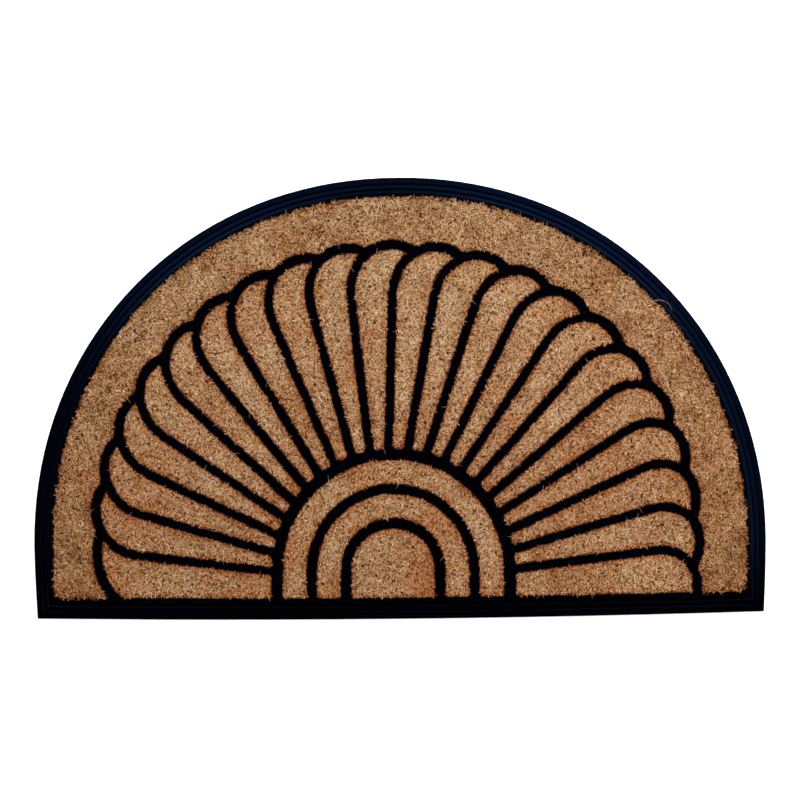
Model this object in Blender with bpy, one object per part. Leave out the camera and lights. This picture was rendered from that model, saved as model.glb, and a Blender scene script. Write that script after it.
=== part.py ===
"""A half-round doormat: one moulded rubber tray with coir pile set into its cells.

Metres, +Z up. The mat lies flat on z = 0, its straight edge towards -Y and its arc towards +Y.
The origin is under the middle of the mat's box. The pattern is drawn with its heights counted from the
straight edge, and each point is moved to that origin where a solid is made of it.
The tray is the backing, the lines between the cells and the ridged rim, moulded in one piece.
The pile fills the cells: a crescent border, a fan of leaning petals, two arches and a small sun.
"""

from math import cos, hypot, pi, radians, sin

import bmesh
import bpy
from mathutils import noise

# The mat's outline, seen from above
WIDTH = 0.750
DEPTH = 0.4524
WAIST = 0.0785  # the mat is widest this far above its straight edge
SQUARENESS = 2.066  # 2 is a plain ellipse, more has squarer shoulders
TUCK = 0.003  # each side draws in by this much from the waist to the corner
TUCK_POWER = 1.5  # more keeps the side straight for longer below the waist
BOW = 0.004  # the straight edge bulges by this much in its middle
ARC_STEPS = 72
SIDE_STEPS = 3
EDGE_STEPS = 12
MIDDLE = DEPTH / 2  # the middle of the mat's box above its straight edge

# Heights above the floor
CELL_FLOOR = 0.0025
LINE_TOP = 0.0078
COIR_TOP = 0.0118

# The rim: how far in from the mat's edge, and how high. It tapers outwards in a lip and two treads, which
# slope down towards the mat's edge, the inner one most, and are parted by narrow grooves
RIM = 0.0200
BAND = 0.0217  # the rim is wider along the straight edge
RIM_PROFILE = (
    # (inset, height)
    (0.0000, 0.0022),
    (0.0008, 0.0030),
    (0.0062, 0.0039),
    (0.0070, 0.0033),
    (0.0078, 0.0039),
    (0.0114, 0.0047),
    (0.0122, 0.0041),
    (0.0130, 0.0047),
    (0.0164, 0.0060),
    (0.0172, 0.0053),
    (0.0180, LINE_TOP),
)

# The rubber lines and the pile beside them
LINE_WIDTH = 0.0082
SCALLOP_EXTRA = 0.0011  # the scalloped line is thicker than the others by this much, on the border's side
TIP_CUT = 0.0036  # a petal's tip is rounded off from this far along both of its sides
TIP_STEPS = 4
GAP = 0.0003
WOBBLE = 0.0005  # the pile's edge wanders inwards by up to this much
WOBBLE_SPACING = 0.011
LUMP = 0.0004  # the pile's top rises and falls by up to this much
LUMP_SPACING = 0.03
LUMP_LAYER = 5.0  # which layer of the noise the lumps read, away from the wobble's
PILE_ROUNDING = 0.0016
CORNER_RADIUS = 0.0035
BORDER_CORNER_RADIUS = 0.007
BORDER_CORNER_STEPS = 4
SHARP_TURN = radians(40)
CORNER_SHARE = 0.45  # the most of a side that the curve of its corner may take
LEAST_NARROWING = 0.4  # stops a very sharp corner from moving too far when a loop is drawn in
SHORTEST_SIDE = 0.0004
HAIR = 0.00001  # keeps a corner's foot just clear of the band
PARALLEL = 1e-15  # two segments whose cross product is less than this are taken as parallel
CUTTER_HEADROOM = 0.01

# The sun and its arches: half rounds on straight legs
ARCH_X = -0.0074
ARCH_Y = 0.0503
SUN_RADIUS = 0.0431
INNER_ARCH = (0.0532, 0.0785)
OUTER_ARCH = (0.0878, 0.1135)
ARCH_STEPS = 20
LEG_OVERRUN = 0.2  # a leg runs on below the band by this share of its radius, and is cut off there

# The fan: its lines run from a foot ring round the arches out to a head ring
PETALS = 22
LINE_TURN = radians(9)  # from one line to the next, with the first and last lines level
FOOT_X = -0.0070
FOOT_RADIUS = 0.1247
FOOT_CROWD = radians(1.7)  # the upper lines' feet lean this far towards the left
HEAD_X = -0.0037
HEAD_Y = 0.0720
HEAD_RADIUS = 0.299
HEAD_SWAY = radians(0.39)  # the heads bunch and spread by this much, twice round the fan
# Each line springs into half an ellipse that leans clockwise over its petal
SPRING = 0.806  # where it springs, as a share of the way from foot ring to head ring
RISE = 0.256  # the half ellipse's height, as such a share
LEAN = 0.935  # half of its width, in petals
FIRST_LEAN = 1.2  # the first petal's head is wider, and comes down to the rim
FIRST_RISE = 0.235  # and a little flatter
HEAD_STEPS = 12
RIB_SHARES = (-0.1, 0.3)  # two points on each straight rib; it starts inside the foot ring

RUBBER = ("moulded rubber", (0.006, 0.007, 0.010, 1.0), 0.55)
COIR = ("coir pile", (0.40, 0.24, 0.12, 1.0), 0.95)


def clear_scene():
    for thing in list(bpy.data.objects):
        bpy.data.objects.remove(thing)


def material(name, colour, roughness):
    made = bpy.data.materials.new(name)
    made.use_nodes = True
    shader = made.node_tree.nodes["Principled BSDF"]
    shader.inputs["Base Color"].default_value = colour
    shader.inputs["Roughness"].default_value = roughness
    return made


# Plain geometry on lists of (x, y) points


def shifted(path, distance):
    """The open path moved sideways, to its left where distance is positive."""
    moved = []
    last = len(path) - 1
    for i, (x, y) in enumerate(path):
        before = path[max(i - 1, 0)]
        after = path[min(i + 1, last)]
        dx = after[0] - before[0]
        dy = after[1] - before[1]
        length = hypot(dx, dy)
        moved.append((x - distance * dy / length, y + distance * dx / length))
    return moved


def crossing(first, second):
    """Where two paths first cross: the point, and the index on each path of the segment there."""
    for i in range(len(first) - 1):
        ax, ay = first[i]
        ux = first[i + 1][0] - ax
        uy = first[i + 1][1] - ay
        for j in range(len(second) - 1):
            bx, by = second[j]
            vx = second[j + 1][0] - bx
            vy = second[j + 1][1] - by
            area = ux * vy - uy * vx
            if abs(area) < PARALLEL:
                continue
            s = ((bx - ax) * vy - (by - ay) * vx) / area
            t = ((bx - ax) * uy - (by - ay) * ux) / area
            if 0 <= s < 1 and 0 <= t < 1:
                return (ax + s * ux, ay + s * uy), i, j
    raise ValueError("the paths do not cross")


def above_band(loop):
    """The part of a closed loop that lies above the rim's straight band."""
    kept = []
    for i, point in enumerate(loop):
        previous = loop[i - 1]
        here = point[1] - band_edge(point[0])
        there = previous[1] - band_edge(previous[0])
        if here * there < 0:
            share = there / (there - here)
            kept.append(tuple(a + share * (b - a) for a, b in zip(previous, point)))
        if here >= 0:
            kept.append(point)
    return kept


def side_directions(loop, i):
    """The unit directions into and out of corner i of a closed loop, and the two sides' lengths."""
    x, y = loop[i]
    before = loop[i - 1]
    after = loop[(i + 1) % len(loop)]
    length_in = hypot(x - before[0], y - before[1])
    length_out = hypot(after[0] - x, after[1] - y)
    way_in = ((x - before[0]) / length_in, (y - before[1]) / length_in)
    way_out = ((after[0] - x) / length_out, (after[1] - y) / length_out)
    return way_in, way_out, length_in, length_out


def walked(path, distance):
    """The point this far along an open path, and how many of the path's points are passed to get there."""
    for i, (x, y) in enumerate(path[:-1]):
        across = path[i + 1][0] - x
        up = path[i + 1][1] - y
        length = hypot(across, up)
        if length > distance:
            share = distance / length
            return (x + share * across, y + share * up), i + 1
        distance -= length
    raise ValueError("the path is too short")


def blunted(near, back):
    """Two paths that meet in a tip, the last point of near, joined by a curve that takes the tip off."""
    tip = near[-1]
    start, dropped = walked(near[::-1], TIP_CUT)
    end, skipped = walked([tip] + back, TIP_CUT)
    curve = []
    for i in range(TIP_STEPS + 1):
        t = i / TIP_STEPS
        weights = ((1 - t) ** 2, 2 * t * (1 - t), t**2)
        x, y = (sum(w * p[axis] for w, p in zip(weights, (start, tip, end))) for axis in (0, 1))
        curve.append((x, y))
    return near[:-dropped] + curve + back[skipped - 1 :]


def rounded(loop, radius):
    """A closed loop with each of its sharp corners taken off by a short curve of three points."""
    made = []
    for i, (x, y) in enumerate(loop):
        way_in, way_out, length_in, length_out = side_directions(loop, i)
        straight = way_in[0] * way_out[0] + way_in[1] * way_out[1]
        if straight > cos(SHARP_TURN):
            made.append((x, y))
            continue
        cut = min(radius, CORNER_SHARE * length_in, CORNER_SHARE * length_out)
        start = (x - cut * way_in[0], y - cut * way_in[1])
        end = (x + cut * way_out[0], y + cut * way_out[1])
        # Half way between the corner and the middle of the cut, as on a quadratic curve
        middle = (0.5 * x + 0.25 * (start[0] + end[0]), 0.5 * y + 0.25 * (start[1] + end[1]))
        made += [start, middle, end]
    return made


def inset(loop, distance):
    """A closed counter-clockwise loop drawn in by distance(x, y)."""
    made = []
    for i, (x, y) in enumerate(loop):
        way_in, way_out, _, _ = side_directions(loop, i)
        nx = -(way_in[1] + way_out[1])
        ny = way_in[0] + way_out[0]
        length = hypot(nx, ny)
        # A sharp corner moves further than its sides do
        step = distance(x, y) / max(0.5 * length, LEAST_NARROWING)
        made.append((x + step * nx / length, y + step * ny / length))
    return made


def without_doubles(loop):
    """A closed loop without the points that lie almost on the one before."""
    kept = []
    for point in loop:
        if not kept or hypot(point[0] - kept[-1][0], point[1] - kept[-1][1]) > SHORTEST_SIDE:
            kept.append(point)
    if hypot(kept[0][0] - kept[-1][0], kept[0][1] - kept[-1][1]) <= SHORTEST_SIDE:
        kept.pop()
    return kept


# The mat's outline and its pattern


def band_edge(x):
    """How far up the page the rim's straight band ends."""
    return BAND + BOW * (2 * x / WIDTH) ** 2


def outline(inwards):
    """The mat's outline drawn in by a distance, counter-clockwise from the lower right corner."""
    across = WIDTH / 2 - inwards
    up = DEPTH - WAIST - inwards
    lift = inwards * BAND / RIM
    foot = lift + BOW

    def side(y):
        return across - TUCK * ((WAIST - y) / WAIST) ** TUCK_POWER

    heights = [foot + (WAIST - foot) * i / SIDE_STEPS for i in range(SIDE_STEPS)]
    loop = [(side(y), y) for y in heights]
    for i in range(ARC_STEPS + 1):
        angle = pi * i / ARC_STEPS
        reach = (abs(cos(angle)) / across) ** SQUARENESS + (sin(angle) / up) ** SQUARENESS
        radius = reach ** (-1 / SQUARENESS)
        loop.append((radius * cos(angle), WAIST + radius * sin(angle)))
    loop += [(-side(y), y) for y in reversed(heights)]
    for i in range(1, EDGE_STEPS):
        x = side(foot) * (2 * i / EDGE_STEPS - 1)
        loop.append((x, lift + BOW * (2 * x / WIDTH) ** 2))
    return loop


def half_round(centre_x, radius, angle):
    """A point on a half round with straight legs, whose angle is below 0 or over pi on the legs."""
    if angle < 0:
        return centre_x + radius, ARCH_Y + radius * angle
    if angle > pi:
        return centre_x - radius, ARCH_Y - radius * (angle - pi)
    return centre_x + radius * cos(angle), ARCH_Y + radius * sin(angle)


def leg_angle(radius):
    """How far below level a half round's legs run before they are well past the band."""
    return (ARCH_Y - BAND) / radius + LEG_OVERRUN


def half_round_path(centre_x, radius):
    """A half round as a path from its right foot over to its left foot."""
    leg = leg_angle(radius)
    angles = [-leg] + [pi * i / ARCH_STEPS for i in range(ARCH_STEPS + 1)] + [pi + leg]
    return [half_round(centre_x, radius, angle) for angle in angles]


def fan_point(petal, share):
    """A point of the fan: petals counted clockwise, and the share of the way from foot to head."""
    crowd = FOOT_CROWD * sin(pi * petal / (PETALS - 2))
    foot = half_round(FOOT_X, FOOT_RADIUS, pi - LINE_TURN * petal + crowd)
    sway = HEAD_SWAY * sin(4 * pi * petal / (PETALS - 2))
    angle = pi - LINE_TURN * petal - sway
    reach = abs(cos(angle)) ** SQUARENESS + abs(sin(angle)) ** SQUARENESS
    radius = HEAD_RADIUS * reach ** (-1 / SQUARENESS)
    head = (HEAD_X + radius * cos(angle), HEAD_Y + radius * sin(angle))
    return tuple(a + share * (b - a) for a, b in zip(foot, head))


def fan_head(number):
    """The half ellipse at the outer end of one rubber line, leaning clockwise."""
    lean, rise = (LEAN, RISE) if number >= 0 else (FIRST_LEAN, FIRST_RISE)
    crown = number + LEAN
    angles = [pi * i / HEAD_STEPS for i in range(HEAD_STEPS + 1)]
    return [fan_point(crown - lean * cos(angle), SPRING + rise * sin(angle)) for angle in angles]


def fan_line(number):
    """The middle of one rubber line: a straight rib, then its leaning head."""
    return [fan_point(number, share) for share in RIB_SHARES] + fan_head(number)


def petal_cell(petal):
    """The opening for one petal, counter-clockwise, between the line that heads it and the next one."""
    half = LINE_WIDTH / 2
    foot = half_round_path(FOOT_X, FOOT_RADIUS)
    first, last = 0, len(foot)
    if petal == 0:
        # The first petal has no rib under it: its head comes down to the band
        near = shifted(fan_head(-1), -half)
    else:
        near = shifted(fan_line(petal - 1), -half)
        corner, i, j = crossing(near, foot)
        near = [corner] + near[i + 1 :]
        last = j + 1
    if petal < PETALS - 1:
        far = shifted(fan_line(petal), half)
        tip, i, k = crossing(near[1:], far)
        low, m, j = crossing(far, foot)
        near = blunted(near[: i + 2] + [tip], far[k:m:-1] + [low])
        first = j + 1
    clockwise = near + foot[first:last]
    return above_band(list(reversed(clockwise)))


def border_cell():
    """The opening of the crescent border, counter-clockwise."""
    reach = LINE_WIDTH / 2 + SCALLOP_EXTRA
    heads = [shifted(fan_head(number - 1), reach) for number in range(PETALS)]
    scallops = []
    start = 0
    for head, following in zip(heads[:-1], heads[1:]):
        cusp, i, j = crossing(head[start:], following)
        scallops += head[start : start + i + 1] + [cusp]
        start = j + 1
    scallops += heads[-1][start:]
    arc = outline(RIM)[: 2 * SIDE_STEPS + ARC_STEPS + 1]
    return above_band(round_feet(arc) + scallops)


def round_feet(arc):
    """The border's outer path with its two lower corners rounded off above the band."""
    radius = BORDER_CORNER_RADIUS
    right_x = arc[0][0]
    left_x = arc[-1][0]
    floor = band_edge(right_x) + HAIR
    upper = [point for point in arc if point[1] > floor + radius]
    quarter = [pi / 2 * i / BORDER_CORNER_STEPS for i in range(BORDER_CORNER_STEPS + 1)]
    sides = [(radius * (1 - sin(angle)), floor + radius * (1 - cos(angle))) for angle in quarter]
    right = [(right_x - inwards, y) for inwards, y in sides]
    left = [(left_x + inwards, y) for inwards, y in reversed(sides)]
    return [(right[0][0], 0.0)] + right + upper + left + [(left[-1][0], 0.0)]


def arch_cell(radii):
    """The opening of one arch between two half rounds, counter-clockwise."""
    inner, outer = radii
    loop = half_round_path(ARCH_X, outer) + list(reversed(half_round_path(ARCH_X, inner)))
    return above_band(loop)


def sun_cell():
    return above_band(half_round_path(ARCH_X, SUN_RADIUS))


def all_cells():
    """Every cell of the tray: its pile's name and its outline."""
    cells = {"coir_border": border_cell()}
    for petal in range(PETALS):
        cells[f"coir_petal_{petal + 1:02d}"] = petal_cell(petal)
    cells["coir_arch_outer"] = arch_cell(OUTER_ARCH)
    cells["coir_arch_inner"] = arch_cell(INNER_ARCH)
    cells["coir_sun"] = sun_cell()
    return {
        name: without_doubles(rounded(without_doubles(loop), CORNER_RADIUS))
        for name, loop in cells.items()
    }


# Solids


def add_object(name, mesh, look):
    thing = bpy.data.objects.new(name, mesh)
    bpy.context.collection.objects.link(thing)
    if look:
        mesh.materials.append(look)
    return thing


def closed_mesh(name, shape):
    bmesh.ops.recalc_face_normals(shape, faces=shape.faces)
    mesh = bpy.data.meshes.new(name)
    shape.to_mesh(mesh)
    shape.free()
    return mesh


def placed(shape, loop, z):
    """A drawn loop's corners at one height, moved to the mat's own origin."""
    return [shape.verts.new((x, y - MIDDLE, z)) for x, y in loop]


def tray_blank(look):
    """The tray before its cells are sunk: flat below, with the rim's ridges stepping up to a plateau."""
    shape = bmesh.new()
    rings = [(0.0, 0.0)] + list(RIM_PROFILE)
    loops = [placed(shape, outline(inwards), z) for inwards, z in rings]
    for lower, upper in zip(loops[:-1], loops[1:]):
        for i, corner in enumerate(lower):
            shape.faces.new((lower[i - 1], corner, upper[i], upper[i - 1]))
    shape.faces.new(list(reversed(loops[0])))
    shape.faces.new(loops[-1])
    return add_object("rubber_tray", closed_mesh("rubber_tray", shape), look)


def add_prism(shape, loop, low, high):
    """A straight-sided block over a loop, and its upper face's edges."""
    bottom = placed(shape, loop, low)
    top = placed(shape, loop, high)
    for i in range(len(loop)):
        shape.faces.new((bottom[i - 1], bottom[i], top[i], top[i - 1]))
    shape.faces.new(list(reversed(bottom)))
    face = shape.faces.new(top)
    return list(face.edges)


def cell_cutter(cells):
    shape = bmesh.new()
    for loop in cells.values():
        add_prism(shape, loop, CELL_FLOOR, COIR_TOP + CUTTER_HEADROOM)
    cutter = add_object("cell_cutter", closed_mesh("cell_cutter", shape), None)
    cutter.hide_render = True
    cutter.display_type = "WIRE"
    return cutter


def rubber_tray(cells, look):
    tray = tray_blank(look)
    cut = tray.modifiers.new("cells", "BOOLEAN")
    cut.operation = "DIFFERENCE"
    cut.solver = "EXACT"
    cut.object = cell_cutter(cells)
    return tray


def wandering_gap(x, y):
    """The pile's gap to its cell's wall, wider here and there as a hand-filled edge is."""
    wave = noise.noise((x / WOBBLE_SPACING, y / WOBBLE_SPACING, 0.0))
    return GAP + WOBBLE * min(1.0, abs(wave) * 2)


def coir_pad(name, cell, look):
    """One cell's pile: a pad with a rounded upper edge and a slightly lumpy top."""
    shape = bmesh.new()
    rim = add_prism(shape, inset(cell, wandering_gap), CELL_FLOOR + GAP, COIR_TOP)
    bmesh.ops.bevel(
        shape,
        geom=rim,
        offset=PILE_ROUNDING,
        segments=2,
        profile=0.5,
        affect="EDGES",
        clamp_overlap=True,
    )
    for corner in shape.verts:
        if corner.co.z > LINE_TOP:
            at = corner.co / LUMP_SPACING
            corner.co.z += LUMP * noise.noise((at.x, at.y, LUMP_LAYER))
    bmesh.ops.triangulate(shape, faces=[face for face in shape.faces if len(face.verts) > 4])
    return add_object(name, closed_mesh(name, shape), look)


def main():
    clear_scene()
    rubber = material(*RUBBER)
    coir = material(*COIR)
    cells = all_cells()
    rubber_tray(cells, rubber)
    for name, cell in cells.items():
        coir_pad(name, cell, coir)


main()
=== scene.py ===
"""A half-round doormat on a lit white floor, seen from straight above.

The frame holds a moulded rubber tray and a plain pad for each cell of coir. Here the tray gets its rounded
mouldings, and each pad becomes cut pile: a low base with thousands of short stiff fibres standing in it.
"""

from math import pi, radians
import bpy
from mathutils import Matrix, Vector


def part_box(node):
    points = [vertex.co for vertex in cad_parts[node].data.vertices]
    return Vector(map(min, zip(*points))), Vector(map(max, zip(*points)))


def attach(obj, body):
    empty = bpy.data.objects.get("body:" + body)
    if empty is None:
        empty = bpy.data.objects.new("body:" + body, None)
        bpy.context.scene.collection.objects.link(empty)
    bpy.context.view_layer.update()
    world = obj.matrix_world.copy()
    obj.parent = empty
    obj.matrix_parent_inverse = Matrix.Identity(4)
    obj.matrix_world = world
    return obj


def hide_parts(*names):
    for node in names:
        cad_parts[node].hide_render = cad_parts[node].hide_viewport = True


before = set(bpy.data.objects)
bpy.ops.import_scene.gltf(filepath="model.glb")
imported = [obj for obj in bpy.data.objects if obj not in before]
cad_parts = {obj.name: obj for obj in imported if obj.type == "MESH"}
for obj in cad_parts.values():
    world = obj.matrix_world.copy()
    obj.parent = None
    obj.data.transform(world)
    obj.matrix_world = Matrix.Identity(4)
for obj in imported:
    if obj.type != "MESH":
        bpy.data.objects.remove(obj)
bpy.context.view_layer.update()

from types import SimpleNamespace

import bmesh
import bpy
import numpy as np
from mathutils import Vector

MM = 0.001

# The photograph's view: straight down, turned by a little, this much floor across the picture
VIEW_HEIGHT = 6.0
VIEW_WIDTH = 820.2 * MM
VIEW_CENTRE = (1.4 * MM, -1.9 * MM)
VIEW_TURN = radians(-0.59)
SENSOR = 36.0  # in millimetres, as the lens is

# Light: soft boxes beyond the arc and at both sides, none beyond the straight edge
SOFT_BOXES = (
    # (name, place, width, watts)
    ("north_east_box", (1.2, 2.2, 2.9), 2.0, 113.0),
    ("north_west_box", (-1.4, 2.1, 2.9), 2.0, 92.0),
    ("west_box", (-3.0, 0.7, 2.0), 2.0, 12.0),
    ("east_box", (1.9, 0.4, 1.4), 2.0, 46.0),
)
ROOM_LEVEL = 0.35  # how bright the room is where it is brightest, low beyond the arc
DARK_LEVEL = 0.02  # and overhead, and beyond the straight edge
ROOM_TILT = 0.45  # how far the brightness leans from the horizon towards the arc's side
ROOM_FADE = (-0.2, 0.5)  # and it fades between these heights above that leaning horizon
FLOOR_SIZE = 12.0
FLOOR_DROP = 0.3 * MM  # just clear of the mat's underside
FLOOR_GLOW = 0.8  # a light table under the floor keeps the mat's shadow on it faint

# How the CAD's meshes are cleaned and read
MERGE_WITHIN = 0.005 * MM  # corners as close as this are one
FLAT_WITHIN = radians(0.5)  # faces that turn by less than this are joined
LEVEL_WITHIN = 0.02 * MM  # heights that differ by less than this are the same
DOWNWARD = -0.99  # a face looks straight down where its normal's z is under this
UPRIGHT = 0.5  # and it is a side wall where its normal's z is nearer to 0 than this

# The tray's mouldings
LINE_TOP = 7.8 * MM
RIDGE_ROUNDING = 0.5 * MM
LINE_ROUNDING = 0.3 * MM
ROUNDING_STEPS = 3
CREST_TURN = radians(12)  # a level edge that turns by more than this is a crest, and gets rounded
CREST_FROM = 2.5 * MM  # but not below here, so the rim's lip keeps its sharp outer edge
SMOOTH_TURN = radians(35)  # an edge that turns by less than this shades smooth

# The tray's rubber
RUBBER_COLOUR = "#010101"
RUBBER_ROUGHNESS = 0.3
RUBBER_SHINE = 0.07  # how much it mirrors, as the shader's specular level
RUBBER_REFLECTION_TINT = "#4a90ff"  # a painted blue tint on the light the rubber mirrors
GRAIN_SIZE = 1.11 * MM  # the mould's grain is finer, and drawn as coarse as it needs to show
GRAIN_DEPTH = 0.2 * MM
GRAIN_STRENGTH = 0.1
GRAIN_DETAIL = 3.0
DUST_COLOUR = "#040404"
DUST_SIZE = 3.85 * MM  # of the spots that it settles in
DUST_RANGE = (0.62, 0.8)  # the noise's values between which the dust comes in
DUST_DETAIL = 4.0
SEAM_ROUGHNESS = 0.75  # along the mould's seam, a dull band across the rim beside the top of the arc
SEAM_X = -12.2 * MM
SEAM_HALF = 2.4 * MM
SEAM_FROM = 200.0 * MM  # and only beyond this, which takes in the rim

# The pile: a low base, and the fibres that stand in it
BASE_DROP = 2.6 * MM  # the base's top lies this far under the pad's
FIBRE_SPACING = 0.95 * MM
FIBRE_LENGTH = 5.0 * MM
FIBRE_LENGTH_SPREAD = 0.9 * MM
FIBRE_WIDTH = 0.74 * MM
FIBRE_WIDTHS = (0.7, 1.3)  # shares of that width, from the thinnest fibre to the thickest
FIBRE_WAIST = 0.55  # a fibre is widest at this share of its length
FIBRE_RISE = 0.15 * MM  # and arches up there by this much
FIBRE_SINK = 0.3 * MM
FIBRE_TILT = radians(67)  # from upright
FIBRE_TILT_SPREAD = radians(12)
LEAST_TILT = radians(4)
MOST_TILT = radians(78)
FIBRE_FACES = ((0, 1, 2), (1, 0, 3), (0, 2, 3), (2, 1, 3))  # of its foot, its tip and its waist's two sides
FIBRE_CORNERS = 4

# What changes over the pile: fibres of one tuft lean and stand alike, and tufts gather in larger groups
TUFT = 2.4 * MM
CLUMP = 6.0 * MM
PATCH = 18.0 * MM
STRETCH = 40.0 * MM
TUFT_PULL = 0.8
TUFT_HEIGHT = 0.5 * MM
CLUMP_HEIGHT = 0.4 * MM
PIT_SPACING = 2.0 * MM
PIT_SHARE = 0.05  # of the roots are left out, in small pits
PIT_PATCHING = 0.3  # more of them in some patches

# Along the pile's edge
EDGE_REACH = 4.5 * MM  # fibres closer to the edge than this are combed along it, are shorter, and get painted shade
EDGE_COMB = 2.2  # combed fully where this times the nearness, from 0 to 1, is over 1
EDGE_SHORTEN = 0.3
# Painted shade along the pile's edge, at most this much
EDGE_PAINTED_SHADE = 0.35
EDGE_SHADE_POWER = 4  # the painted shade keeps close to the edge
EDGE_INSET = 0.1 * MM  # no fibre stands closer to the edge than this
EDGE_RAGGED = 0.9 * MM  # here and there the pile starts up to this much further in
RAGGED_SPACINGS = (4.0 * MM, 1.7 * MM)
SHAGGY = 0.9  # some stretches of the edge are combed less, by up to this much
SHAGGY_SPACING = 22.0 * MM
FAN_MIDDLE = (0.0, -175 * MM)  # a pile's outer edge is the one that faces away from here

# The pile's colours
WHITE = "#ffffff"
COIR_SHADES = (
    # (shade, colour): dark brown, brown, tan, straw and pale fibres
    (0.0, "#73471d"),
    (0.25, "#b09269"),
    (0.5, "#cfb597"),
    (0.75, "#d8c2a5"),
    (1.0, "#dfcdb1"),
)
PAINTED_SHADE_TINTS = (
    # (shading, what multiplies the shade): painted shade, near black at a fibre's foot, orange brown, clear
    # on top
    (0.0, "#4a2008"),
    (0.35, "#cba069"),
    (0.7, "#f5e2ca"),
    (1.0, WHITE),
)
RUST_COLOUR = "#e3a66a"  # multiplies a fibre's shade too, as its warmth goes from 0 to 1
COIR_ROUGHNESS = 0.82
COIR_SHINE = 0.2
ROUND_LIFT = 0.6  # how much a fibre's normal leans towards straight up
# Painted shade in the pile: darker towards each fibre's foot, and the base under the fibres darkest
ROOT_SHADING = 0.1
SHADING_HEIGHT = 2.6 * MM  # the painted shade lifts fully about this far above the base
BASE_SHADE = 0.35
CELL_LOOKS = {
    # kind: (middle shade, how much darker low down, how strong the edge's effects are on its outer edge)
    "border": (0.43, 0.06, 0.35),
    "petal": (0.65, 0.06, 1.0),
    "arch": (0.64, 0.0, 1.0),
    "sun": (0.62, 0.0, 1.0),
}
LOW_FROM = 50.0 * MM  # below this the border and the petals get darker, fully so this much further down
LOW_REACH = 250.0 * MM
FIBRE_SHADES = 0.14  # how much the shade differs between fibres, and over a tuft, a clump and a patch
TUFT_SHADES = 0.14
CLUMP_SHADES = 0.14
PATCH_SHADES = 0.12
BROWN_SHARE = 0.03  # of the fibres are dark brown, more in some clumps than in others
BROWN_CLUMPING = 3
WARMTH = 0.17  # how rust brown the pile is in the middle of the mat's depth
WARMTH_SLOPE = 0.9  # and by how much more a metre towards the straight edge
FIBRE_WARMTHS = 0.25  # how much it differs between fibres, and over a clump and a stretch
CLUMP_WARMTHS = 0.2
STRETCH_WARMTHS = 0.3
RUST_REACH = 5.5 * MM  # the pile is rust brown along the lines, and less so up to this far away
RUST_POWER = 2
RED_TUFTS = ((-316.6 * MM, -126.8 * MM), (-150.1 * MM, -187.9 * MM))  # rust brown all through
RED_REACH = 2.2 * MM

# Long fibres that stray out over the rubber
STRAY_SPACING = 260.0 * MM
STRAY_WIDTH = 0.26 * MM
STRAY_TAPER = 0.6  # its end is thinner than its start by this share
STRAY_LENGTHS = (3.0 * MM, 8.0 * MM)
STRAY_SPREAD = radians(60)
STRAY_BEND = radians(50)
STRAY_STEPS = 7
STRAY_SINK = 1.5 * MM  # how far inside the pile's edge one starts
STRAY_DROP = 1.2 * MM  # how far its end hangs below the pile's top
STRAY_SHADE = 0.6
PROBE = 0.1 * MM  # a step off the outline, which tells its inside from its outside
CURL_START = (259.5 * MM, 96.0 * MM)  # one long curl on the rim at the right
CURL_HEADING = radians(22)
CURL_BEND = radians(-105)
CURL_LENGTH = 27.0 * MM

# The floor's acrylic
ACRYLIC_COLOUR = "#f4f4f4"
ACRYLIC_ROUGHNESS = 0.9
ACRYLIC_SHINE = 0.1

# A Mix node names its sockets alike for every kind of value, so its colour sockets go by number
MIX_SHARE = 0
MIX_FIRST = 6
MIX_SECOND = 7
MIX_RESULT = 2


def linear(hex_colour):
    """An sRGB hex colour as the linear numbers that shaders take."""
    values = [int(hex_colour[i : i + 2], 16) / 255 for i in (1, 3, 5)]
    return [v / 12.92 if v <= 0.04045 else ((v + 0.055) / 1.055) ** 2.4 for v in values] + [1.0]


# Materials


def node(tree, kind, inputs=None, **settings):
    """Adds a node with its settings, and sets or links its inputs by name or number."""
    made = tree.nodes.new(kind)
    for name, value in settings.items():
        setattr(made, name, value)
    for key, value in (inputs or {}).items():
        if isinstance(value, bpy.types.NodeSocket):
            tree.links.new(value, made.inputs[key])
        else:
            made.inputs[key].default_value = value
    return made


def new_material(name):
    """A new material, its node tree and its Principled shader."""
    made = bpy.data.materials.new(name)
    made.use_nodes = True
    return made, made.node_tree, made.node_tree.nodes["Principled BSDF"]


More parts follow.
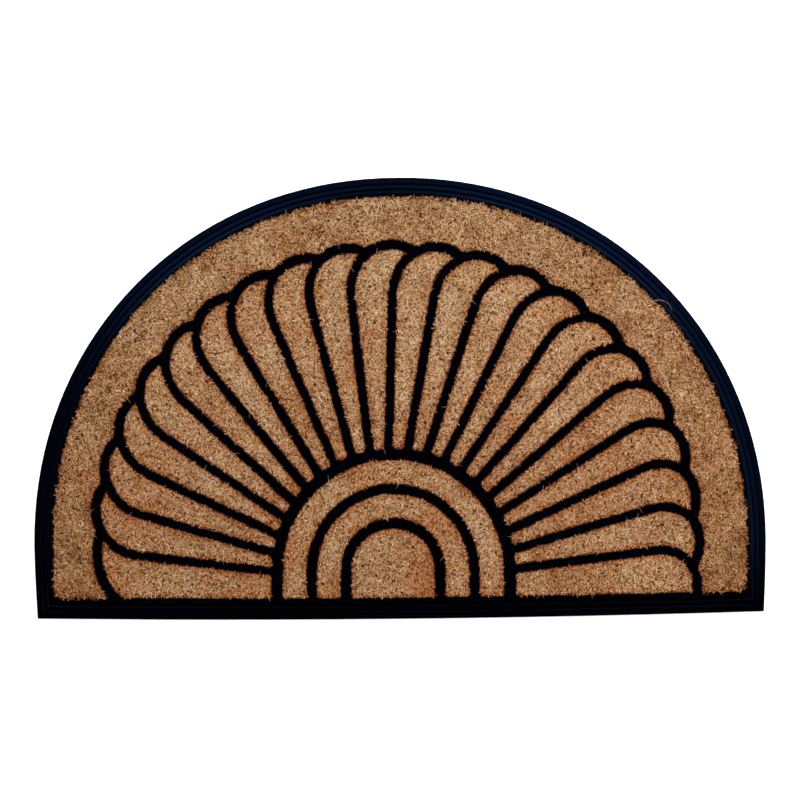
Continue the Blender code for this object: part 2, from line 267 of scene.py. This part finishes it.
def moulded_rubber():
    """Black rubber pressed in a mould: near black, half matt, with a painted blue tint on the light it
    mirrors.
    """
    made, tree, shader = new_material("moulded_black_rubber")
    place = node(tree, "ShaderNodeTexCoord").outputs["Object"]
    grain = node(
        tree,
        "ShaderNodeTexNoise",
        {"Vector": place, "Scale": 1 / GRAIN_SIZE, "Detail": GRAIN_DETAIL},
    )
    bump = node(
        tree,
        "ShaderNodeBump",
        {"Height": grain.outputs["Fac"], "Strength": GRAIN_STRENGTH, "Distance": GRAIN_DEPTH},
    )
    dust = node(
        tree,
        "ShaderNodeTexNoise",
        {"Vector": place, "Scale": 1 / DUST_SIZE, "Detail": DUST_DETAIL},
    )
    settled = node(
        tree,
        "ShaderNodeMapRange",
        {"Value": dust.outputs["Fac"], "From Min": DUST_RANGE[0], "From Max": DUST_RANGE[1]},
    )
    colour = node(
        tree,
        "ShaderNodeMix",
        {
            MIX_SHARE: settled.outputs["Result"],
            MIX_FIRST: linear(RUBBER_COLOUR),
            MIX_SECOND: linear(DUST_COLOUR),
        },
        data_type="RGBA",
    )

    axes = node(tree, "ShaderNodeSeparateXYZ", {"Vector": place})
    aside = node(tree, "ShaderNodeMath", {0: axes.outputs["X"], 1: SEAM_X}, operation="SUBTRACT")
    distance = node(tree, "ShaderNodeMath", {0: aside.outputs["Value"]}, operation="ABSOLUTE")
    near = node(
        tree,
        "ShaderNodeMapRange",
        {"Value": distance.outputs["Value"], "From Min": SEAM_HALF, "From Max": SEAM_HALF / 2},
    )
    on_rim = node(tree, "ShaderNodeMath", {0: axes.outputs["Y"], 1: SEAM_FROM}, operation="GREATER_THAN")
    seam = node(
        tree,
        "ShaderNodeMath",
        {0: near.outputs["Result"], 1: on_rim.outputs["Value"]},
        operation="MULTIPLY",
    )
    rough = node(
        tree,
        "ShaderNodeMapRange",
        {"Value": seam.outputs["Value"], "To Min": RUBBER_ROUGHNESS, "To Max": SEAM_ROUGHNESS},
    )
    tree.links.new(colour.outputs[MIX_RESULT], shader.inputs["Base Color"])
    tree.links.new(rough.outputs["Result"], shader.inputs["Roughness"])
    tree.links.new(bump.outputs["Normal"], shader.inputs["Normal"])
    shader.inputs["Specular IOR Level"].default_value = RUBBER_SHINE
    shader.inputs["Specular Tint"].default_value = linear(RUBBER_REFLECTION_TINT)
    return made


def cut_coir():
    """Cut coconut fibre: dry and matt, straw to dark brown, rust brown along the lines, and painted shade
    low down.
    """
    made, tree, shader = new_material("cut_coir_fibre")
    shade = node(tree, "ShaderNodeAttribute", attribute_name="shade").outputs["Fac"]
    warmth = node(tree, "ShaderNodeAttribute", attribute_name="warmth").outputs["Fac"]
    painted_shading = node(tree, "ShaderNodeAttribute", attribute_name="painted_shading").outputs["Fac"]

    shades = node(tree, "ShaderNodeValToRGB", {"Fac": shade})
    # Painted shade: each corner darker the lower it stands in the pile
    shading_tints = node(tree, "ShaderNodeValToRGB", {"Fac": painted_shading})
    for ramp, colours in ((shades, COIR_SHADES), (shading_tints, PAINTED_SHADE_TINTS)):
        stops = ramp.color_ramp.elements
        stops[0].color = linear(colours[0][1])
        stops[1].color = linear(colours[-1][1])
        for place, colour in colours[1:-1]:
            stops.new(place).color = linear(colour)
    rust = node(
        tree,
        "ShaderNodeMix",
        {MIX_SHARE: warmth, MIX_FIRST: linear(WHITE), MIX_SECOND: linear(RUST_COLOUR)},
        data_type="RGBA",
    )
    rusted = node(
        tree,
        "ShaderNodeMix",
        {MIX_SHARE: 1.0, MIX_FIRST: shades.outputs["Color"], MIX_SECOND: rust.outputs[MIX_RESULT]},
        data_type="RGBA",
        blend_type="MULTIPLY",
    )
    shaded_colour = node(
        tree,
        "ShaderNodeMix",
        {MIX_SHARE: 1.0, MIX_FIRST: rusted.outputs[MIX_RESULT], MIX_SECOND: shading_tints.outputs["Color"]},
        data_type="RGBA",
        blend_type="MULTIPLY",
    )
    # A real fibre is round, and so lit more evenly than a flat facet: its normal leans towards straight up
    facing = node(tree, "ShaderNodeNewGeometry").outputs["Normal"]
    raised = node(tree, "ShaderNodeVectorMath", {0: facing, 1: (0.0, 0.0, ROUND_LIFT)}, operation="ADD")
    soft = node(tree, "ShaderNodeVectorMath", {0: raised.outputs["Vector"]}, operation="NORMALIZE")
    tree.links.new(shaded_colour.outputs[MIX_RESULT], shader.inputs["Base Color"])
    tree.links.new(soft.outputs["Vector"], shader.inputs["Normal"])
    shader.inputs["Roughness"].default_value = COIR_ROUGHNESS
    shader.inputs["Specular IOR Level"].default_value = COIR_SHINE
    return made


def lit_acrylic():
    """The matt white acrylic sheet of a light table, lit evenly from below."""
    made, _, shader = new_material("lit_white_acrylic")
    shader.inputs["Base Color"].default_value = linear(ACRYLIC_COLOUR)
    shader.inputs["Roughness"].default_value = ACRYLIC_ROUGHNESS
    shader.inputs["Specular IOR Level"].default_value = ACRYLIC_SHINE
    shader.inputs["Emission Color"].default_value = linear(WHITE)
    shader.inputs["Emission Strength"].default_value = FLOOR_GLOW
    return made


# Modelling helpers


def select_only(thing):
    """Makes one object the selected and the active one."""
    bpy.ops.object.select_all(action="DESELECT")
    thing.select_set(True)
    bpy.context.view_layer.objects.active = thing


def add_object(name, data):
    """A new object in the scene."""
    thing = bpy.data.objects.new(name, data)
    bpy.context.scene.collection.objects.link(thing)
    return thing


def copy_of(node_name, name):
    """A copy of a CAD node's mesh as a new object, its corners merged and its flat faces joined."""
    thing = add_object(name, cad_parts[node_name].data.copy())
    select_only(thing)
    if thing.data.has_custom_normals:
        bpy.ops.mesh.customdata_custom_splitnormals_clear()
    bpy.ops.object.mode_set(mode="EDIT")
    bpy.ops.mesh.select_all(action="SELECT")
    bpy.ops.mesh.remove_doubles(threshold=MERGE_WITHIN)
    bpy.ops.mesh.dissolve_limited(angle_limit=FLAT_WITHIN)
    bpy.ops.mesh.select_all(action="DESELECT")
    bpy.ops.object.mode_set(mode="OBJECT")
    return thing


def dressed(piece, node_name, material):
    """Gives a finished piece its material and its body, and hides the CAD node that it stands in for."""
    piece.data.materials.clear()
    piece.data.materials.append(material)
    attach(piece, "root")
    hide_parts(node_name)
    return piece


# The tray


def is_crest(edge):
    """True for a level edge that turns outwards, above the lip's outer edge."""
    first, second = edge.verts
    level = abs(first.co.z - second.co.z) < LEVEL_WITHIN
    if not level or first.co.z < CREST_FROM or len(edge.link_faces) != 2:
        return False
    return edge.is_convex and edge.calc_face_angle() > CREST_TURN


def is_line_top(edge):
    """True for a level edge as high as the tops of the raised lines."""
    return edge.verts[0].co.z > LINE_TOP - LEVEL_WITHIN


def round_edges(thing, wanted, width):
    """Bevels the edges of an object that a test picks out."""
    select_only(thing)
    bpy.ops.object.mode_set(mode="EDIT")
    bpy.ops.mesh.select_mode(type="EDGE")
    bpy.ops.mesh.select_all(action="DESELECT")
    shape = bmesh.from_edit_mesh(thing.data)
    for edge in shape.edges:
        edge.select = wanted(edge)
    bmesh.update_edit_mesh(thing.data)
    bpy.ops.mesh.bevel(offset=width, segments=ROUNDING_STEPS, affect="EDGES", clamp_overlap=False)
    bpy.ops.mesh.select_all(action="DESELECT")
    bpy.ops.object.mode_set(mode="OBJECT")


def moulded_tray(rubber):
    """The rubber tray with its ridges and lines rounded, as they come out of a mould."""
    tray = copy_of("rubber_tray", "moulded_tray")
    round_edges(tray, lambda edge: is_crest(edge) and not is_line_top(edge), RIDGE_ROUNDING)
    round_edges(tray, lambda edge: is_crest(edge) and is_line_top(edge), LINE_ROUNDING)
    bpy.ops.object.shade_smooth_by_angle(angle=SMOOTH_TURN)
    # The wide faces shade flat, and only the rounded edges between them turn the light
    flat = tray.modifiers.new("flat_faces", "WEIGHTED_NORMAL")
    flat.keep_sharp = True
    bpy.ops.object.modifier_apply(modifier=flat.name)
    return dressed(tray, "rubber_tray", rubber)


def underside_area(tray):
    """The flat area that the tray covers: its faces that look straight down."""
    return sum(face.area for face in tray.data.polygons if face.normal.z < DOWNWARD)


# The pile


def edge_segments(pad):
    """The two ends of each side of the pad's outline, seen from above."""
    shape = bmesh.new()
    shape.from_mesh(pad.data)
    low = min(corner.co.z for corner in shape.verts)
    sides = []
    for edge in shape.edges:
        level = all(corner.co.z < low + LEVEL_WITHIN for corner in edge.verts)
        if level and any(abs(face.normal.z) < UPRIGHT for face in edge.link_faces):
            sides.append([corner.co.xy[:] for corner in edge.verts])
    shape.free()
    return np.array(sides)


def nearest_on(sides, points):
    """For each point, the nearest point of the outline and how far it is."""
    found = np.zeros_like(points)
    far = np.full(len(points), np.inf)
    for start, end in sides:
        along = end - start
        share = np.clip((points - start) @ along / (along @ along), 0, 1)
        place = start + share[:, None] * along
        distance = np.hypot(*(points - place).T)
        closer = distance < far
        found[closer] = place[closer]
        far[closer] = distance[closer]
    return found, far


def inside(sides, points):
    """Which points lie inside the outline: a ray from one crosses it an odd number of times."""
    crossings = np.zeros(len(points), int)
    x, y = points.T
    for (ax, ay), (bx, by) in sides:
        if ay == by:
            continue
        spans = (ay > y) != (by > y)
        crossings += spans & (x < ax + (y - ay) * (bx - ax) / (by - ay))
    return crossings % 2 == 1


def drift(points, spacing, random):
    """A smooth random number from -1 to 1 at each point, which changes over about the spacing."""
    # The lattice of random numbers reaches past the points on every side
    low = points.min(0) - spacing
    size = np.ceil((points.max(0) - low) / spacing).astype(int) + 2
    lattice = random.uniform(-1, 1, size)
    place = (points - low) / spacing
    cell = place.astype(int)
    share = place - cell
    eased = share * share * (3 - 2 * share)
    i, j = cell.T
    u, v = eased.T
    left = lattice[i, j] * (1 - v) + lattice[i, j + 1] * v
    right = lattice[i + 1, j] * (1 - v) + lattice[i + 1, j + 1] * v
    return left * (1 - u) + right * u


def fibre_roots(sides, random):
    """Roots on an even grid, each moved at random in its square, with a ragged edge and a few small pits."""
    low = sides.min((0, 1))
    high = sides.max((0, 1))
    across, up = (np.arange(a, b, FIBRE_SPACING) for a, b in zip(low, high))
    grid = np.stack(np.meshgrid(across, up), -1).reshape(-1, 2)
    roots = grid + random.uniform(0, FIBRE_SPACING, grid.shape)
    roots = roots[inside(sides, roots)]
    _, far = nearest_on(sides, roots)
    ragged = sum(drift(roots, spacing, random) for spacing in RAGGED_SPACINGS)
    roots = roots[far > EDGE_INSET + EDGE_RAGGED * np.clip(ragged, 0, 1)]
    pits = drift(roots, PIT_SPACING, random) + PIT_PATCHING * drift(roots, PATCH, random)
    return roots[pits < np.quantile(pits, 1 - PIT_SHARE)]


def rust_at(far):
    """How rust brown the pile is this far from its edge: full on the edge, and none well inside."""
    return np.clip(1 - far / RUST_REACH, 0, 1) ** RUST_POWER


def planted(sides, outer_share, random):
    """Where a cell's fibres stand: each root, the way to the edge, its nearness and rust, and the drifts."""
    roots = fibre_roots(sides, random)
    nearest, far = nearest_on(sides, roots)
    outward = (nearest - roots) / far[:, None]
    by_inner_edge = (outward * (roots - FAN_MIDDLE)).sum(1) < 0
    share = np.where(by_inner_edge, 1, outer_share)
    return SimpleNamespace(
        roots=roots,
        count=len(roots),
        outward=outward,
        edge=share * np.clip(1 - far / EDGE_REACH, 0, 1),  # from 0, well inside, up to 1 on the edge
        rust=share * rust_at(far),
        tuft=drift(roots, TUFT, random),
        clump=drift(roots, CLUMP, random),
        patch=drift(roots, PATCH, random),
    )


def fibre_corners(fibres, top, random):
    """The four corners of each fibre, a closed spindle: its foot, its tip and its waist's two sides."""
    roots, count = fibres.roots, fibres.count
    turn = random.uniform(0, 2 * pi, count)
    lean = np.stack([np.cos(turn), np.sin(turn)], -1)
    lean += TUFT_PULL * np.stack([drift(roots, TUFT, random), drift(roots, TUFT, random)], -1)
    # Near the edge a fibre is combed, so that it leans along the edge and not out over the rubber
    beyond = np.maximum((lean * fibres.outward).sum(1), 0)
    shaggy = np.clip(SHAGGY * drift(roots, SHAGGY_SPACING, random), 0, 1)
    combed = np.clip(EDGE_COMB * fibres.edge - shaggy, 0, 1)
    lean -= (combed * beyond)[:, None] * fibres.outward
    lean /= np.hypot(*lean.T)[:, None]
    tilt = np.clip(random.normal(FIBRE_TILT, FIBRE_TILT_SPREAD, count), LEAST_TILT, MOST_TILT)
    length = random.normal(FIBRE_LENGTH, FIBRE_LENGTH_SPREAD, count)
    length += TUFT_HEIGHT * fibres.tuft + CLUMP_HEIGHT * fibres.clump
    length *= 1 - EDGE_SHORTEN * fibres.edge

    foot = np.column_stack([roots, np.full(count, top - FIBRE_SINK)])
    reach = np.column_stack([(length * np.sin(tilt))[:, None] * lean, length * np.cos(tilt)])
    waist = foot + FIBRE_WAIST * reach
    waist[:, 2] += FIBRE_RISE
    across = np.column_stack([-lean[:, 1], lean[:, 0], np.zeros(count)])
    half = FIBRE_WIDTH / 2 * random.uniform(*FIBRE_WIDTHS, count)[:, None] * across
    return np.stack([foot, foot + reach, waist - half, waist + half], 1)


def fibre_values(fibres, heights, middle_shade, low_shade, random):
    """The shade, the warmth and the painted shade of each fibre's corners, from their heights above the
    base.
    """
    roots, count = fibres.roots, fibres.count
    down = -roots[:, 1]
    shade = middle_shade + FIBRE_SHADES * random.normal(0, 1, count)
    shade += TUFT_SHADES * fibres.tuft + CLUMP_SHADES * fibres.clump + PATCH_SHADES * fibres.patch
    shade -= low_shade * np.clip((LOW_FROM + down) / LOW_REACH, 0, 1)
    warmth = WARMTH + WARMTH_SLOPE * down + FIBRE_WARMTHS * random.normal(0, 1, count)
    warmth += CLUMP_WARMTHS * drift(roots, CLUMP, random)
    warmth += STRETCH_WARMTHS * drift(roots, STRETCH, random)
    warmth += fibres.rust
    brown_share = BROWN_SHARE * (1 + BROWN_CLUMPING * drift(roots, CLUMP, random))
    shade[random.random(count) < brown_share] = 0.0
    for red in RED_TUFTS:
        warmth[np.hypot(*(roots - red).T) < RED_REACH] = 1.0
    painted_shading = np.clip(ROOT_SHADING + heights / SHADING_HEIGHT, 0, 1)
    return {
        "shade": np.repeat(np.clip(shade, 0, 1)[:, None], FIBRE_CORNERS, 1),
        "warmth": np.repeat(np.clip(warmth, 0, 1)[:, None], FIBRE_CORNERS, 1),
        # Painted shade along the pile's edge as well
        "painted_shading": painted_shading * (1 - EDGE_PAINTED_SHADE * fibres.edge**EDGE_SHADE_POWER)[:, None],
    }


def set_values(mesh, values):
    """Writes each list of numbers to an attribute of the mesh's corners."""
    for name, numbers in values.items():
        attribute = mesh.attributes.new(name, "FLOAT", "POINT")
        attribute.data.foreach_set("value", np.asarray(numbers, np.float32))


def fibre_object(name, corners, values, wanted):
    """One object of the wanted fibres, from all the fibres' corners and values."""
    corners = corners[wanted]
    faces = FIBRE_CORNERS * np.arange(len(corners))[:, None, None] + np.array(FIBRE_FACES)
    mesh = bpy.data.meshes.new(name)
    mesh.from_pydata(corners.reshape(-1, 3).tolist(), [], faces.reshape(-1, 3).tolist())
    set_values(mesh, {key: numbers[wanted].reshape(-1) for key, numbers in values.items()})
    return add_object(name, mesh)


def stray_ways(sides, random):
    """Where a cell's stray fibres start, with each one's heading, bend and length."""
    lengths = np.hypot(*(sides[:, 1] - sides[:, 0]).T)
    count = round(lengths.sum() / STRAY_SPACING)
    for side in random.choice(len(sides), count, p=lengths / lengths.sum()):
        start, end = sides[side]
        across = np.array([end[1] - start[1], start[0] - end[0]]) / lengths[side]
        place = start + random.random() * (end - start)
        if inside(sides, (place + PROBE * across)[None])[0]:
            across = -across
        heading = np.arctan2(across[1], across[0]) + random.uniform(-STRAY_SPREAD, STRAY_SPREAD)
        bend = random.uniform(-STRAY_BEND, STRAY_BEND)
        yield place - STRAY_SINK * across, heading, bend, random.uniform(*STRAY_LENGTHS)


def stray_fibres(ways, high):
    """One mesh of thin bent fibres, from where each starts, its heading, its bend and its length."""
    data = bpy.data.curves.new("strays", "CURVE")
    data.dimensions = "3D"
    data.bevel_depth = STRAY_WIDTH / 2
    data.bevel_resolution = 0
    data.use_fill_caps = True
    for place, heading, bend, length in ways:
        spline = data.splines.new("POLY")
        spline.points.add(STRAY_STEPS)
        x, y = place
        for i, point in enumerate(spline.points):
            share = i / STRAY_STEPS
            point.co = (x, y, high - STRAY_DROP * share, 1)
            point.radius = 1 - STRAY_TAPER * share
            x += length / STRAY_STEPS * np.cos(heading + bend * share)
            y += length / STRAY_STEPS * np.sin(heading + bend * share)
    strays = add_object("strays", data)
    select_only(strays)
    bpy.ops.object.convert(target="MESH")
    count = len(strays.data.vertices)
    set_values(
        strays.data,
        {"shade": np.full(count, STRAY_SHADE), "warmth": np.full(count, WARMTH), "painted_shading": np.ones(count)},
    )
    return strays


def lower_to_base(pad, sides, top):
    """Lowers a pad's copy to the pile's base: painted shade, as dark as the fibres' feet, and rust at its
    edge.
    """
    for corner in pad.data.vertices:
        corner.co.z = min(corner.co.z, top)
    corners = np.array([corner.co[:2] for corner in pad.data.vertices])
    _, far = nearest_on(sides, corners)
    count = len(corners)
    set_values(
        pad.data,
        {"shade": np.full(count, BASE_SHADE), "warmth": rust_at(far), "painted_shading": np.zeros(count)},
    )


def pile(node_name, number, coir):
    """One cell's pile, in place of its pad. The border's is in two pieces, left and right."""
    random = np.random.default_rng(number)
    name = node_name.replace("coir_", "pile_")
    kind = node_name.split("_")[1]
    middle_shade, low_shade, outer_share = CELL_LOOKS[kind]
    pad_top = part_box(node_name)[1].z
    top = pad_top - BASE_DROP
    base = copy_of(node_name, name)
    sides = edge_segments(base)
    lower_to_base(base, sides, top)

    ways = list(stray_ways(sides, random))
    fibres = planted(sides, outer_share, random)
    corners = fibre_corners(fibres, top, random)
    values = fibre_values(fibres, corners[..., 2] - top, middle_shade, low_shade, random)
    on_base = np.full(fibres.count, True)
    if kind == "border":
        ways.append((CURL_START, CURL_HEADING, CURL_BEND, CURL_LENGTH))
        on_base = fibres.roots[:, 0] < 0
    standing = fibre_object("standing", corners, values, on_base)
    strays = stray_fibres(ways, pad_top)
    select_only(base)
    standing.select_set(True)
    strays.select_set(True)
    bpy.ops.object.join()
    pieces = [base]
    if not on_base.all():
        pieces.append(fibre_object(name + "_right", corners, values, ~on_base))
    return [dressed(piece, node_name, coir) for piece in pieces]


# The stage


def add_floor():
    """The light table's sheet, a wide plane just under the mat."""
    bpy.ops.object.select_all(action="DESELECT")
    bpy.ops.mesh.primitive_plane_add(size=FLOOR_SIZE, location=(0, 0, -FLOOR_DROP))
    floor = bpy.context.object
    floor.name = "floor"
    bpy.ops.object.transform_apply(location=True, rotation=True, scale=True)
    floor.data.materials.append(lit_acrylic())


def add_camera():
    """A camera straight above the mat."""
    data = bpy.data.cameras.new("camera")
    data.sensor_width = SENSOR
    data.lens = SENSOR * VIEW_HEIGHT / VIEW_WIDTH
    camera = add_object("camera", data)
    camera.location = (*VIEW_CENTRE, VIEW_HEIGHT)
    camera.rotation_euler = (0, 0, VIEW_TURN)
    bpy.context.scene.camera = camera


def add_soft_box(name, place, width, watts):
    """A square soft box that faces the mat."""
    data = bpy.data.lights.new(name, "AREA")
    data.size = width
    data.energy = watts
    box = add_object(name, data)
    box.location = place
    box.rotation_euler = (-Vector(place)).to_track_quat("-Z", "Y").to_euler()


def add_room():
    """A room lit from beyond the arc, and dim overhead, so that flat rubber mirrors little light."""
    world = bpy.data.worlds.new("pale_room")
    world.use_nodes = True
    tree = world.node_tree
    direction = node(tree, "ShaderNodeTexCoord").outputs["Generated"]
    height = node(
        tree,
        "ShaderNodeVectorMath",
        {0: direction, 1: (0.0, -ROOM_TILT, 1.0)},
        operation="DOT_PRODUCT",
    ).outputs["Value"]
    level = node(
        tree,
        "ShaderNodeMapRange",
        {
            "Value": height,
            "From Min": ROOM_FADE[0],
            "From Max": ROOM_FADE[1],
            "To Min": ROOM_LEVEL,
            "To Max": DARK_LEVEL,
        },
    )
    tree.links.new(level.outputs["Result"], tree.nodes["Background"].inputs["Strength"])
    bpy.context.scene.world = world


def main():
    """The stage first, then the tray, and then the pile of each cell, all attached to one body."""
    bpy.context.scene.view_settings.view_transform = "Standard"
    add_camera()
    add_floor()
    add_room()
    for soft_box in SOFT_BOXES:
        add_soft_box(*soft_box)

    tray = moulded_tray(moulded_rubber())
    coir = cut_coir()
    cells = sorted(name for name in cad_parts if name.startswith("coir_"))
    piles = []
    for number, name in enumerate(cells):
        piles += pile(name, number, coir)
    underside_area(tray)


main()
